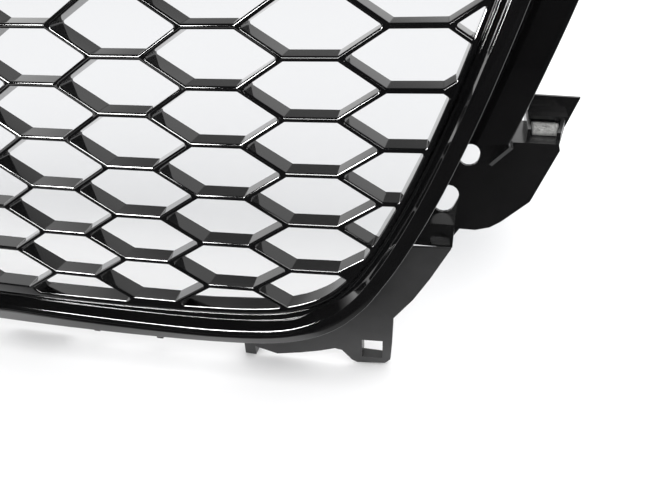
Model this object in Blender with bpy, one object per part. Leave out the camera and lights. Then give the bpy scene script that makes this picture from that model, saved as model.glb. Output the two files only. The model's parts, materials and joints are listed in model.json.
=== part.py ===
"""Front grille: gloss trim frame, honeycomb insert, rear carrier, side channels, brackets and fixings."""
import math

import bmesh
import bpy
from mathutils import Matrix, Vector
from mathutils.geometry import delaunay_2d_cdt

MM = 0.001

# Lattice of the honeycomb
ROW_PITCH = 32.0
FLAT_LENGTH = 30.7
SLANT_RUN = 25.6
COLUMN_PITCH = FLAT_LENGTH + SLANT_RUN
RIB_FRONT = 3.0
RIB_BACK = 5.0
RIB_DEPTH = 12.0
SMALLEST_CELL = 60.0

# Edge of the insert: rail in front, clamping lip behind
RAIL_EDGE = 4.0
LIP_EDGE = 8.5
LIP_FRONT = 9.2

# Opening of the grille, right half from bottom middle to top middle (x, z)
OPENING = [(0, -98.9), (50, -98.7), (100, -98.3), (150, -97.4), (185, -95.6), (208, -91.6), (228, -83.5),
           (243, -71), (254.5, -55), (264, -38.8), (274, -19), (283, 1), (291.5, 22.4), (299.3, 43.5),
           (306.8, 66), (315, 92), (322.5, 119), (328.5, 146), (332.5, 171), (333.5, 192), (330, 210),
           (320.5, 225), (305, 236), (284, 243.5), (255, 248.5), (210, 252.5), (140, 256), (70, 257.6), (0, 258)]

# Face of the grille: forward bow across and lean back towards the top
BOW = 3.5e-4
LEAN = 0.1116
LEAN_GROWTH = 9.6e-4

# Bottom edge sections are wider than the sides
BOTTOM_WIDENING = 0.45

# Depths behind the face
CARRIER_FRONT = 12.3
CARRIER_BACK = 15.0
FLANGE_FRONT = 15.3
FLANGE_BACK = 17.8
SCREW_OFFSET = 11.7

# Side bracket
PLATE_Y = 60.0
PLATE_T = 2.5
SHELF_TOP = 7.0
SHELF_DEPTH = 38.5
SOCKET_FRONT = 44.0
BORE_DEPTH = 5.0

# The side channel widens a little towards the top
CHANNEL_FLARE = 0.0005
BRACKET_FOOT_LOW = -51.4
BRACKET_FOOT_HIGH = 6.5

# Lower end of the bottom clips
CLIP_END = -141.4

# Top fixing tabs
TAB_HALF = 20.0
TAB_RISE = 34.0
TAB_T = 2.8
TAB_REACH = 32.0
TAB_SLOT = 19.0

# The part's origin is under the middle top tab, this far back
ORIGIN_DEPTH = 118.0

# Fixings
SCREW_HEAD_R = 3.6
SCREW_HEAD_H = 2.4
SCREW_SHANK_R = 1.4
CLEARANCE_R = 1.9
PILOT_R = 1.75
PAD_R = 4.5
BOSS_R = 2.9

MATERIALS = {
    "gloss_black": ((0.012, 0.012, 0.013, 1.0), 0.08, 0.0),
    "satin_black": ((0.022, 0.022, 0.023, 1.0), 0.42, 0.0),
    "grey_felt": ((0.28, 0.28, 0.27, 1.0), 0.95, 0.0),
    "zinc_steel": ((0.55, 0.55, 0.53, 1.0), 0.35, 1.0),
}


def face_depth(x, z):
    """Distance of the grille face behind the reference plane at (x, z), in mm."""
    return 0.5 * BOW * x * x + LEAN * z + 0.5 * LEAN_GROWTH * z * z


def face_slope(x, z):
    """Steepness of the face at (x, z)."""
    return math.hypot(BOW * x, LEAN + LEAN_GROWTH * z)


def clear_scene():
    """Remove every object of the start-up scene."""
    for ob in list(bpy.data.objects):
        bpy.data.objects.remove(ob, do_unlink=True)


def new_collection(name):
    """Make a collection linked to the scene."""
    col = bpy.data.collections.new(name)
    bpy.context.scene.collection.children.link(col)
    return col


def new_material(name, spec):
    """Make one Principled material."""
    mat = bpy.data.materials.new(name)
    mat.use_nodes = True
    shader = mat.node_tree.nodes["Principled BSDF"]
    shader.inputs["Base Color"].default_value = spec[0]
    shader.inputs["Roughness"].default_value = spec[1]
    shader.inputs["Metallic"].default_value = spec[2]
    mat.diffuse_color = spec[0]
    return mat


clear_scene()
GRILLE = new_collection("front_grille")
CUTTERS = new_collection("cutters")
LOOK = {name: new_material(name, spec) for name, spec in MATERIALS.items()}


def smooth_points(points, count=12):
    """Sample a smooth curve through open control points."""
    padded = [(-points[1][0], points[1][1])] + list(points) + [(-points[-2][0], points[-2][1])]
    out = []
    for i in range(1, len(padded) - 2):
        p0, p1, p2, p3 = [Vector(p) for p in padded[i - 1:i + 3]]
        for k in range(count):
            t = k / count
            a = 2 * p1 + (p2 - p0) * t
            b = (2 * p0 - 5 * p1 + 4 * p2 - p3) * t * t
            c = (3 * p1 - p0 - 3 * p2 + p3) * t * t * t
            out.append((a + b + c) * 0.5)
    out.append(Vector(points[-1]))
    return out


def thin_points(points, turn, reach):
    """Keep points where the curve has turned or run far enough since the last kept one."""
    kept = [points[0]]
    turned = 0.0
    run = 0.0
    for i in range(1, len(points) - 1):
        before = points[i] - points[i - 1]
        after = points[i + 1] - points[i]
        turned += abs(before.angle_signed(after))
        run += before.length
        if turned > turn or run > reach:
            kept.append(points[i])
            turned = 0.0
            run = 0.0
    kept.append(points[-1])
    return kept


HALF = thin_points(smooth_points(OPENING), math.radians(7.0), 36.0)
LOOP = HALF + [Vector((-p.x, p.y)) for p in reversed(HALF[1:-1])]


def loop_normal(points, i):
    """Outward normal at one point of a closed counter-clockwise loop."""
    run = points[(i + 1) % len(points)] - points[i - 1]
    return Vector((run.y, -run.x)).normalized()


def widening(normal):
    """Width factor of the frame sections for an outward normal."""
    return 1.0 + BOTTOM_WIDENING * max(0.0, -normal.y) ** 3


NORMALS = [loop_normal(LOOP, i) for i in range(len(LOOP))]


def offset_loop(distance):
    """Opening outline moved outwards by a section distance."""
    return [p + n * distance * widening(n) for p, n in zip(LOOP, NORMALS)]


def beside(x, z, distance):
    """Point at a section distance from the outline, level with (x, z)."""
    spot = Vector((x, z))
    best = None
    moved = offset_loop(distance)
    for i in range(len(LOOP)):
        run = LOOP[i] - LOOP[i - 1]
        t = min(1.0, max(0.0, (spot - LOOP[i - 1]).dot(run) / run.length_squared))
        gap = (LOOP[i - 1] + run * t - spot).length
        if best is None or gap < best[0]:
            best = (gap, moved[i - 1].lerp(moved[i], t))
    return best[1]


def add_object(name, mesh, material=None, collection=None):
    """Link a mesh as a named object."""
    ob = bpy.data.objects.new(name, mesh)
    (collection or GRILLE).objects.link(ob)
    if material:
        mesh.materials.append(LOOK[material])
    return ob


def finish_mesh(bm, name):
    """Write a bmesh in millimetres to a mesh in metres with outward normals."""
    bmesh.ops.remove_doubles(bm, verts=bm.verts, dist=0.001)
    bmesh.ops.recalc_face_normals(bm, faces=bm.faces)
    bmesh.ops.scale(bm, vec=(MM, MM, MM), verts=bm.verts)
    mesh = bpy.data.meshes.new(name)
    bm.to_mesh(mesh)
    bm.free()
    return mesh


def section_body(name, stations, section, closed):
    """Skin a section (distance, depth) along stations of (point, normal, factor)."""
    bm = bmesh.new()
    rows = []
    for point, normal, factor in stations:
        row = []
        for s, d in section:
            p = point + normal * s * factor
            row.append(bm.verts.new((p.x, d + face_depth(p.x, p.y), p.y)))
        rows.append(row)
    count = len(section)
    last = len(rows) if closed else len(rows) - 1
    for i in range(last):
        a = rows[i]
        b = rows[(i + 1) % len(rows)]
        for k in range(count):
            m = (k + 1) % count
            bm.faces.new((a[k], a[m], b[m], b[k]))
    if not closed:
        bm.faces.new(rows[0])
        bm.faces.new(rows[-1])
    bmesh.ops.triangulate(bm, faces=bm.faces)
    return finish_mesh(bm, name)


def stations(indices=None):
    """Stations of the whole outline or of a run of it."""
    chosen = range(len(LOOP)) if indices is None else indices
    return [(LOOP[i], NORMALS[i], widening(NORMALS[i])) for i in chosen]


def plate_mesh(name, outline, holes, y0, y1):
    """Flat plate in the XZ plane with holes, from depth y0 to y1."""
    curve = bpy.data.curves.new(name, "CURVE")
    curve.dimensions = "2D"
    curve.fill_mode = "BOTH"
    curve.extrude = (y1 - y0) / 2
    for ring in [outline] + holes:
        spline = curve.splines.new("POLY")
        spline.points.add(len(ring) - 1)
        for point, co in zip(spline.points, ring):
            point.co = (co[0], co[1], 0.0, 1.0)
        spline.use_cyclic_u = True
    ob = bpy.data.objects.new(name, curve)
    CUTTERS.objects.link(ob)
    depsgraph = bpy.context.evaluated_depsgraph_get()
    mesh = bpy.data.meshes.new_from_object(ob.evaluated_get(depsgraph))
    bpy.data.objects.remove(ob, do_unlink=True)
    bpy.data.curves.remove(curve)
    bm = bmesh.new()
    bm.from_mesh(mesh)
    bpy.data.meshes.remove(mesh)
    for v in bm.verts:
        v.co = (v.co.x, (y0 + y1) / 2 - v.co.z, v.co.y)
    return finish_mesh(bm, name)


def level_plate(name, outline, holes, z0, z1):
    """Level plate with holes, its outline given as (x, y), between two heights."""
    mesh = plate_mesh(name, outline, holes, z0, z1)
    for v in mesh.vertices:
        v.co = (v.co.x, v.co.z, v.co.y)
    mesh.flip_normals()
    return mesh


def inside(ring, spot):
    """True when a spot lies inside a convex ring."""
    side = 0
    for k in range(len(ring)):
        a = ring[k - 1]
        b = ring[k]
        turn = (b[0] - a[0]) * (spot[1] - a[1]) - (b[1] - a[1]) * (spot[0] - a[0])
        if turn * side < 0:
            return False
        side = turn
    return True


def fill_rings(bm, rings, depth, extra=()):
    """Fill the region inside the first ring and outside the others with even triangles on the bent face."""
    points = [Vector(p) for ring in rings for p in ring]
    edges = []
    start = 0
    for ring in rings:
        count = len(ring)
        edges += [(start + k, start + (k + 1) % count) for k in range(count)]
        start += count
    points += [Vector(p) for p in extra]
    flat, _, faces, sources, _, _ = delaunay_2d_cdt(points, edges, [], 2, 1e-5)
    made = {}
    for co, source in zip(flat, sources):
        made[source[0]] = bm.verts.new((co.x, depth + face_depth(co.x, co.y), co.y))
    order = [made[source[0]] for source in sources]
    for face in faces:
        middle = sum((flat[k] for k in face), Vector((0, 0))) / len(face)
        if not any(inside(ring, middle) for ring in rings[1:]):
            bm.faces.new([order[k] for k in face])
    out = []
    start = 0
    for ring in rings:
        out.append([made[start + k] for k in range(len(ring))])
        start += len(ring)
    return out


def wall(bm, ring_a, ring_b):
    """Join two rings of equal count."""
    count = len(ring_a)
    for k in range(count):
        m = (k + 1) % count
        bm.faces.new((ring_a[k], ring_a[m], ring_b[m], ring_b[k]))


def bent_plate(name, outline, d0, d1, extra=()):
    """Plate that follows the face between two depths; extra points keep its bend even."""
    bm = bmesh.new()
    front = fill_rings(bm, [outline], d0, extra)
    back = fill_rings(bm, [outline], d1, extra)
    wall(bm, front[0], back[0])
    bmesh.ops.triangulate(bm, faces=bm.faces)
    return finish_mesh(bm, name)


def box_mesh(name, low, high):
    """Box between two corners in mm."""
    bm = bmesh.new()
    bmesh.ops.create_cube(bm, size=1.0)
    size = [h - l for l, h in zip(low, high)]
    middle = [(h + l) / 2 for l, h in zip(low, high)]
    bmesh.ops.scale(bm, vec=size, verts=bm.verts)
    bmesh.ops.translate(bm, vec=middle, verts=bm.verts)
    return finish_mesh(bm, name)


def rod_mesh(name, centre, axis, radius, length, segments=16):
    """Round or hexagonal rod starting at centre and running along an axis, in mm."""
    bm = bmesh.new()
    bmesh.ops.create_cone(bm, cap_ends=True, segments=segments, radius1=radius, radius2=radius, depth=length)
    bmesh.ops.translate(bm, vec=(0, 0, length / 2), verts=bm.verts)
    turn = Vector((0, 0, 1)).rotation_difference(Vector(axis)).to_matrix()
    bmesh.ops.rotate(bm, cent=(0, 0, 0), matrix=turn, verts=bm.verts)
    bmesh.ops.translate(bm, vec=centre, verts=bm.verts)
    return finish_mesh(bm, name)


def combine(target, mesh, operation):
    """Apply one exact Boolean with a temporary tool."""
    tool = add_object("tool", mesh, None, CUTTERS)
    tool.hide_render = True
    tool.display_type = "WIRE"
    mod = target.modifiers.new("cut", "BOOLEAN")
    mod.operation = operation
    mod.solver = "EXACT"
    mod.object = tool
    depsgraph = bpy.context.evaluated_depsgraph_get()
    result = bpy.data.meshes.new_from_object(target.evaluated_get(depsgraph))
    target.modifiers.clear()
    old = target.data
    target.data = result
    bpy.data.meshes.remove(old)
    bpy.data.objects.remove(tool, do_unlink=True)
    bpy.data.meshes.remove(mesh)
    bm = bmesh.new()
    bm.from_mesh(result)
    bmesh.ops.remove_doubles(bm, verts=bm.verts, dist=0.00001)
    bmesh.ops.dissolve_degenerate(bm, edges=bm.edges, dist=0.000005)
    bm.to_mesh(result)
    bm.free()


def add(target, mesh):
    """Union."""
    combine(target, mesh, "UNION")


def cut(target, mesh):
    """Difference."""
    combine(target, mesh, "DIFFERENCE")


def mirrored(source, name):
    """Left-hand copy of a right-hand piece."""
    mesh = source.data.copy()
    mesh.name = name
    mesh.transform(Matrix.Scale(-1, 4, (1, 0, 0)))
    mesh.flip_normals()
    ob = bpy.data.objects.new(name, mesh)
    GRILLE.objects.link(ob)
    return ob


def rounded_box(x0, z0, x1, z1, radius, steps=4):
    """Rounded rectangle outline."""
    out = []
    for cx, cz, start in ((x1 - radius, z1 - radius, 0), (x0 + radius, z1 - radius, 90),
                          (x0 + radius, z0 + radius, 180), (x1 - radius, z0 + radius, 270)):
        for k in range(steps + 1):
            a = math.radians(start + 90 * k / steps)
            out.append((cx + radius * math.cos(a), cz + radius * math.sin(a)))
    return out


def slot_outline(cx, cz, radius, half, angle, steps=8):
    """Round-ended slot outline turned by an angle in degrees."""
    out = []
    turn = math.radians(angle)
    for side, start in ((1, -90), (-1, 90)):
        for k in range(steps + 1):
            a = math.radians(start + 180 * k / steps)
            px = side * half + radius * math.cos(a)
            pz = radius * math.sin(a)
            out.append((cx + px * math.cos(turn) - pz * math.sin(turn),
                        cz + px * math.sin(turn) + pz * math.cos(turn)))
    return out


def clip_polygon(polygon, window):
    """Part of a convex polygon inside a counter-clockwise convex window."""
    out = list(polygon)
    for i in range(len(window)):
        a = window[i - 1]
        b = window[i]
        edge = b - a
        kept = []
        for k in range(len(out)):
            p = out[k - 1]
            q = out[k]
            dp = edge.x * (p.y - a.y) - edge.y * (p.x - a.x)
            dq = edge.x * (q.y - a.y) - edge.y * (q.x - a.x)
            if dp * dq < 0:
                kept.append(p + (q - p) * (dp / (dp - dq)))
            if dq >= 0:
                kept.append(q)
        out = kept
        if len(out) < 3:
            return []
    return out


def area(polygon):
    """Area of a polygon."""
    total = 0.0
    for i in range(len(polygon)):
        total += polygon[i - 1].x * polygon[i].y - polygon[i].x * polygon[i - 1].y
    return abs(total) / 2


def drop_close(polygon, gap=0.6):
    """Drop points that nearly coincide with the one before."""
    out = []
    for i in range(len(polygon)):
        if (polygon[i] - polygon[i - 1]).length > gap:
            out.append(polygon[i])
    return out


def cell_outline(cx, cz, inset):
    """Hexagon of one cell, drawn in by an inset from the lattice lines."""
    half_flat = FLAT_LENGTH / 2
    slant = math.hypot(SLANT_RUN, ROW_PITCH / 2)
    tip = half_flat + SLANT_RUN - inset * slant / (ROW_PITCH / 2)
    top = ROW_PITCH / 2 - inset
    flat = tip - top * SLANT_RUN / (ROW_PITCH / 2)
    pts = [(tip, 0), (flat, top), (-flat, top), (-tip, 0), (-flat, -top), (flat, -top)]
    return [Vector((cx + x, cz + z)) for x, z in pts]


def cell_centres():
    """Centres of all lattice cells that can touch the opening."""
    out = []
    for column in range(-7, 8):
        for row in range(-6, 11):
            out.append((column * COLUMN_PITCH, row * ROW_PITCH + (ROW_PITCH / 2 if column % 2 == 0 else 0)))
    return out


def drawn_in(ring, amount):
    """Ring with its points moved towards its middle."""
    centre = sum(ring, Vector((0, 0))) / len(ring)
    amount *= min(1.0, area(ring) / 500.0)
    return [p + (centre - p).normalized() * amount for p in ring]


def build_insert():
    """Honeycomb plate with rail and clamping lip; the ribs thicken towards the back."""
    holes = []
    window = offset_loop(0.0)
    for cx, cz in cell_centres():
        hole = drop_close(clip_polygon(cell_outline(cx, cz, RIB_FRONT / 2), window))
        if len(hole) >= 3 and area(hole) > SMALLEST_CELL:
            holes.append(hole)
    thicker = [drawn_in(hole, (RIB_BACK - RIB_FRONT) / 2) for hole in holes]
    bm = bmesh.new()
    front = fill_rings(bm, [offset_loop(RAIL_EDGE)] + holes, 0.0)
    back = fill_rings(bm, [offset_loop(LIP_EDGE)] + thicker, RIB_DEPTH)
    for a, b in zip(front[1:], back[1:]):
        wall(bm, a, b)
    step = []
    for distance in (RAIL_EDGE, LIP_EDGE):
        ring = offset_loop(distance)
        step.append([bm.verts.new((p.x, LIP_FRONT + face_depth(p.x, p.y), p.y)) for p in ring])
    wall(bm, front[0], step[0])
    wall(bm, step[0], step[1])
    wall(bm, step[1], back[0])
    bmesh.ops.triangulate(bm, faces=bm.faces)
    return add_object("honeycomb_insert", finish_mesh(bm, "honeycomb_insert"), "gloss_black")


def screw_spots():
    """Fixing positions round the frame, named, on the line of the screw bosses."""
    wanted = [("bottom_1", -75, -98), ("bottom_2", 75, -98), ("top_c", 0, 258),
              ("corner_l1", -200, -94), ("corner_r1", 200, -94), ("corner_l2", -246, -67),
              ("corner_r2", 246, -67), ("side_l1", -277, -12), ("side_r1", 277, -12),
              ("side_l2", -307, 66), ("side_r2", 307, 66), ("side_l3", -329, 150),
              ("side_r3", 329, 150), ("top_l", -200, 253), ("top_r", 200, 253)]
    out = []
    for name, x, z in wanted:
        p = beside(x, z, SCREW_OFFSET)
        out.append((name, p.x, p.y))
    return out


SPOTS = screw_spots()
PAD_TOPS = {"bottom": 16.6, "corner": 19.3, "side": 19.3, "top": 20.4}


def pad_top(name):
    """Depth of the flat a screw head sits on."""
    return PAD_TOPS[name.split("_")[0]]


def pad_and_hole(ob, x, z, start, stop):
    """Flat round pad for a screw head on a bent flange, with its clearance hole."""
    base = face_depth(x, z)
    add(ob, rod_mesh("pad", (x, base + start, z), (0, 1, 0), PAD_R, stop - start, 12))
    cut(ob, rod_mesh("hole", (x, base + start - 12, z), (0, 1, 0), CLEARANCE_R, stop - start + 24, 8))


def build_trim():
    """Gloss frame: hollow shell with a steep flank, a rounded crest, an outer leg and screw bosses."""
    section = [(4.3, 2.6), (4.8, 2.2), (5.5, 2.2), (9.0, -4.4), (9.6, -5.1), (10.6, -5.8), (11.7, -6.0),
               (12.8, -5.6), (18.0, -2.6), (18.8, -1.6),
               (19.0, 0.0), (19.0, 15.0), (16.5, 15.0), (16.5, 0.9), (10.4, -2.3), (6.9, 3.2), (6.9, 8.9),
               (4.3, 8.9)]
    ob = add_object("outer_trim", section_body("outer_trim", stations(), section, True), "gloss_black")
    for name, x, z in SPOTS:
        base = face_depth(x, z)
        end = 12.0 - face_slope(x, z) * BOSS_R
        add(ob, rod_mesh("boss", (x, base - 1.7, z), (0, 1, 0), BOSS_R, end + 1.7, 8))
        cut(ob, rod_mesh("pilot", (x, base + 2.5, z), (0, 1, 0), PILOT_R, 12, 6))
    return ob


def build_carrier():
    """Ring behind trim and insert that clamps both."""
    section = [(1.0, CARRIER_FRONT), (16.2, CARRIER_FRONT), (16.2, CARRIER_BACK), (1.0, CARRIER_BACK)]
    ob = add_object("rear_carrier", section_body("rear_carrier", stations(), section, True), "satin_black")
    for name, x, z in SPOTS:
        base = face_depth(x, z)
        if pad_top(name) > 18:
            cut(ob, rod_mesh("hole", (x, base, z), (0, 1, 0), CLEARANCE_R, 30, 8))
        else:
            pad_and_hole(ob, x, z, 13.0, pad_top(name))
    return ob


def side_indices(z0, z1):
    """Outline indices of the right side between two heights."""
    return [i for i, p in enumerate(LOOP) if p.x > 200 and z0 <= p.y <= z1]


def fix_through(ob, prefix):
    """Give a flange pads and holes at the named screw spots."""
    for name, x, z in SPOTS:
        if name in prefix:
            pad_and_hole(ob, x, z, pad_top(name) - 2.9, pad_top(name))


def build_channel():
    """Two-band channel outside the frame on the right side."""
    section = [(8.0, FLANGE_FRONT), (19.6, FLANGE_FRONT), (20.4, 26.0), (23.5, 30.0), (27.2, 27.4),
               (43.0, 29.0), (44.6, 30.2), (45.0, 32.0), (45.0, 37.5), (42.6, 37.5), (42.6, 31.8),
               (27.6, 30.0), (23.6, 32.8), (18.2, 27.6), (17.4, FLANGE_BACK), (8.0, FLANGE_BACK)]
    run = []
    for point, normal, factor in stations(side_indices(-12, 196)):
        run.append((point, normal, factor + CHANNEL_FLARE * max(0.0, point.y - 40.0)))
    ob = add_object("side_channel_r", section_body("side_channel_r", run, section, False), "gloss_black")
    cut(ob, box_mesh("end", (250, -20, -60), (420, 120, 9.5)))
    fix_through(ob, ("side_r2", "side_r3"))
    return ob


def build_bracket():
    """Right side bracket: foot, web, plate with two holes, socket, gusset, shelf and riser."""
    section = [(5.0, FLANGE_FRONT), (19.0, FLANGE_FRONT), (19.0, 62.0), (16.5, 62.0), (16.5, FLANGE_BACK),
               (5.0, FLANGE_BACK)]
    run = stations(side_indices(-60, 22))
    ob = add_object("side_bracket_r", section_body("side_bracket_r", run, section, False), "satin_black")
    back = PLATE_Y + PLATE_T
    cut(ob, box_mesh("back", (200, PLATE_Y + 1.2, -120), (420, 160, 120)))
    cut(ob, box_mesh("high", (200, -20, BRACKET_FOOT_HIGH), (420, 160, 120)))
    cut(ob, box_mesh("low", (200, -20, -120), (420, 160, BRACKET_FOOT_LOW)))
    outline = [(283.0, -61.2), (308.0, -61.2), (311.3, -55.6), (321.5, -55.6), (330.5, -52.8), (337, -48),
               (353, -32), (365.3, 3.2), (364.2, SHELF_TOP), (301, SHELF_TOP), (292, -16), (279, -43)]
    holes = [slot_outline(313.2, -2.8, 6.1, 1.2, 80), slot_outline(300.8, -34.0, 7.0, 3.2, 68)]
    add(ob, plate_mesh("plate", outline, holes, PLATE_Y, back))
    # socket beside the corner flange, with an arched blind bore
    socket = [(283.0, -61.2), (308.0, -61.2), (308.0, -44.2), (283.0, -44.2)]
    add(ob, plate_mesh("socket", socket, [], SOCKET_FRONT, PLATE_Y + 1))
    arch = [(292.9, -59.7), (306.1, -59.7)]
    for k in range(9):
        turn = math.radians(180 * k / 8)
        arch.append((299.5 + 6.6 * math.cos(turn), -56.8 + 6.6 * math.sin(turn)))
    cut(ob, plate_mesh("arch", arch, [], SOCKET_FRONT - 2, SOCKET_FRONT + BORE_DEPTH))
    # shelf and riser
    shelf_back = PLATE_Y + SHELF_DEPTH
    shelf = [(336.5, PLATE_Y + 0.8), (364.3, PLATE_Y + 0.8), (371.5, shelf_back + 1),
             (336.5, shelf_back + 1)]
    add(ob, level_plate("shelf", shelf, [], SHELF_TOP - 2.5, SHELF_TOP))
    riser = [(345.5, SHELF_TOP - 2.5), (371.5, SHELF_TOP - 2.5), (377.6, 23.6), (348.8, 24.4)]
    add(ob, plate_mesh("riser", riser, [], shelf_back, shelf_back + 2.5))
    add(ob, box_mesh("lip", (347.0, 88.5, 12.2), (371.0, shelf_back + 1, 14.2)))
    add(ob, box_mesh("rail_l", (345.6, 64.0, SHELF_TOP - 1), (347.6, shelf_back + 1, 14.2)))
    rail = [(362.6, 64.0), (364.8, 64.0), (371.2, shelf_back + 1), (369.0, shelf_back + 1)]
    add(ob, level_plate("rail_r", rail, [], SHELF_TOP - 1, 12.8))
    # gusset fin between plate and channel
    gusset = [(0, 0), (21.0, 0), (21.0, 11.5)]
    fin = plate_mesh("gusset", gusset, [], -1.1, 1.1)
    along = Vector((326.0 - 336.5, 0, -9.5 - 7.0)).normalized()
    frame = Matrix((-along, Vector((0, 1, 0)), Vector((0, -1, 0)))).transposed().to_4x4()
    side = Vector((0, -1, 0)).cross(-along)
    frame.col[1] = (side.x, side.y, side.z, 0)
    frame.translation = Vector((325.5, PLATE_Y + 0.8, -10.0)) * MM
    fin.transform(frame)
    if frame.to_3x3().determinant() < 0:
        fin.flip_normals()
    add(ob, fin)
    fix_through(ob, ("side_r1",))
    return ob


def build_corner_flange():
    """Flange behind the lower right corner with a hooked leg and a slotted tab."""
    level = [(168.0, -98), (185, -96), (198, -94), (210, -91), (222, -86), (233, -79.5), (242, -72),
             (249, -63)]
    inner = [beside(x, z, 7.5) for x, z in level]
    middle = [beside(x, z, 17.0) for x, z in level] + [Vector((286.0, -64.0)), Vector((262.0, -98.0))]
    outer = [(166.0, -139.5), (190.0, -147.6), (207.2, -144.7), (222.1, -141.2), (233.0, -137.9),
             (238.0, -139.0), (245.0, -147.6), (248.6, -149.6), (268.5, -148.6), (272.2, -145.0), (273.0, -131.0),
             (273.6, -107.5), (286.0, -91.4), (296.0, -74.4), (304.2, -58.5), (307.6, -52.0)]
    outline = outer + [(276.0, -52.0)] + [tuple(p) for p in reversed(inner)]
    mesh = bent_plate("corner_flange_r", outline, FLANGE_FRONT, FLANGE_BACK, middle)
    ob = add_object("corner_flange_r", mesh, "satin_black")
    add(ob, box_mesh("lug", (248.6, 22.8, -148.2), (270.0, 29.5, -125.0)))
    add(ob, box_mesh("leg", (165.4, 15.4, -150.8), (173.6, 24.0, -137.5)))
    cut(ob, box_mesh("slot", (252.2, 0, -143.9), (266.6, 60, -128.4)))
    fix_through(ob, ("corner_r1", "corner_r2"))
    return ob


def build_pad():
    """Felt pad lying between the rails of the shelf."""
    outline = [(349.4, 73.0), (363.6, 73.0), (366.3, 89.5), (349.4, 89.5)]
    mesh = level_plate("felt_pad_r", outline, [], SHELF_TOP + 0.3, SHELF_TOP + 3.5)
    return add_object("felt_pad_r", mesh, "grey_felt")


def build_screw(name, x, z):
    """Pan head screw with a hexagonal recess, head against its pad."""
    base = face_depth(x, z)
    seat = base + pad_top(name) + 0.3
    start = base + 3.2
    profile = [(0.0, SCREW_HEAD_H), (2.7, SCREW_HEAD_H), (SCREW_HEAD_R, 1.1), (SCREW_HEAD_R, 0.0),
               (SCREW_SHANK_R, 0.0), (SCREW_SHANK_R, start - seat + 1.0), (0.0, start - seat)]
    bm = bmesh.new()
    verts = [bm.verts.new((r, 0.0, h)) for r, h in profile]
    edges = [bm.edges.new((verts[i], verts[i + 1])) for i in range(len(verts) - 1)]
    bmesh.ops.spin(bm, geom=verts + edges, axis=(0, 0, 1), cent=(0, 0, 0), steps=8, angle=math.tau,
                   use_merge=True)
    bmesh.ops.rotate(bm, cent=(0, 0, 0), matrix=Matrix.Rotation(math.radians(-90), 3, "X"), verts=bm.verts)
    bmesh.ops.translate(bm, vec=(x, seat, z), verts=bm.verts)
    ob = add_object("screw_" + name, finish_mesh(bm, "screw_" + name), "zinc_steel")
    cut(ob, rod_mesh("recess", (x, seat + SCREW_HEAD_H - 1.2, z), (0, 1, 0), 1.45, 4, 6))
    return ob


def build_clip(name, x):
    """Lower clip: plate on the carrier with a hooked peg reaching below the trim."""
    y0 = face_depth(x, -120) + FLANGE_FRONT
    peg = box_mesh(name, (x - 2.6, y0 + 0.3, CLIP_END), (x + 2.6, y0 + 3.2, -106.0))
    ob = add_object(name, peg, "satin_black")
    add(ob, box_mesh("hook", (x - 2.6, y0 - 2.4, CLIP_END), (x + 2.6, y0 + 1.0, CLIP_END + 3.2)))
    add(ob, box_mesh("foot", (x - 7.0, y0 + 0.3, -118.0), (x + 7.0, y0 + 2.7, -104.0)))
    return ob


def build_centre_tab():
    """Thin tab below the bottom edge in the middle."""
    y0 = face_depth(0, -120) + FLANGE_FRONT + 0.2
    outline = [(-30, -110), (-30, -128), (-25, -143.4), (25, -143.4), (30, -128), (30, -110)]
    mesh = plate_mesh("lower_centre_tab", outline, [], y0, y0 + 2.4)
    ob = add_object("lower_centre_tab", mesh, "satin_black")
    for x in (-14, 14):
        cut(ob, rod_mesh("hole", (x, y0 - 5, -134), (0, 1, 0), 2.4, 14, 12))
    return ob


def tab_top(x, z):
    """Height of the upper face of a top tab."""
    return beside(x, z, 5.5).y + TAB_RISE


def build_upper_mount(name, x, z, screw):
    """Top fixing tab: foot on the carrier and a level shelf with a screw slot."""
    top = tab_top(x, z)
    half = TAB_HALF
    low = [(x + u, beside(x + u, z, 5.5).y) for u in (-half, -half / 2, 0, half / 2, half)]
    middle = [(x + u, beside(x + u, z, 17.0).y) for u in (-half / 2, 0, half / 2)]
    outline = low + [(x + half - 3, top), (x - half + 3, top)]
    mesh = bent_plate(name, outline, FLANGE_FRONT + 0.4, FLANGE_BACK + 0.4, middle)
    ob = add_object(name, mesh, "satin_black")
    y0 = face_depth(x, top) + FLANGE_FRONT
    shelf = rounded_box(x - half + 3, y0 - 1.0, x + half - 3, y0 + TAB_REACH, 3.0, 3)
    slot = slot_outline(x, y0 + TAB_SLOT, 3.3, 3.0, 0, 6)
    add(ob, level_plate("shelf", shelf, [slot], top - TAB_T, top))
    fix_through(ob, (screw,))
    return ob


build_insert()
build_trim()
build_carrier()
for part in (build_channel(), build_bracket(), build_corner_flange(), build_pad()):
    mirrored(part, part.name[:-1] + "l")
for spot in SPOTS:
    build_screw(*spot)
for number, clip_x in enumerate((-101, -49, 49, 101), 1):
    build_clip("lower_clip_%d" % number, clip_x)
build_centre_tab()
build_upper_mount("upper_mount_l", -200, 253, "top_l")
build_upper_mount("upper_mount_r", 200, 253, "top_r")
build_upper_mount("upper_mount_c", 0, 258, "top_c")
origin = Vector((0.0, ORIGIN_DEPTH, tab_top(0, 258) - TAB_T))
for piece in GRILLE.objects:
    piece.data.transform(Matrix.Translation(-origin * MM))
    piece.data.shade_smooth()
    piece.data.set_sharp_from_angle(angle=math.radians(32))
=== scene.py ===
"""Front grille: honeycomb, trim, side channels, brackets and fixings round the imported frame."""

import json
import math
import random

import bmesh
import bpy
from mathutils import Matrix, Vector, noise
from mathutils.geometry import delaunay_2d_cdt

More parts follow.
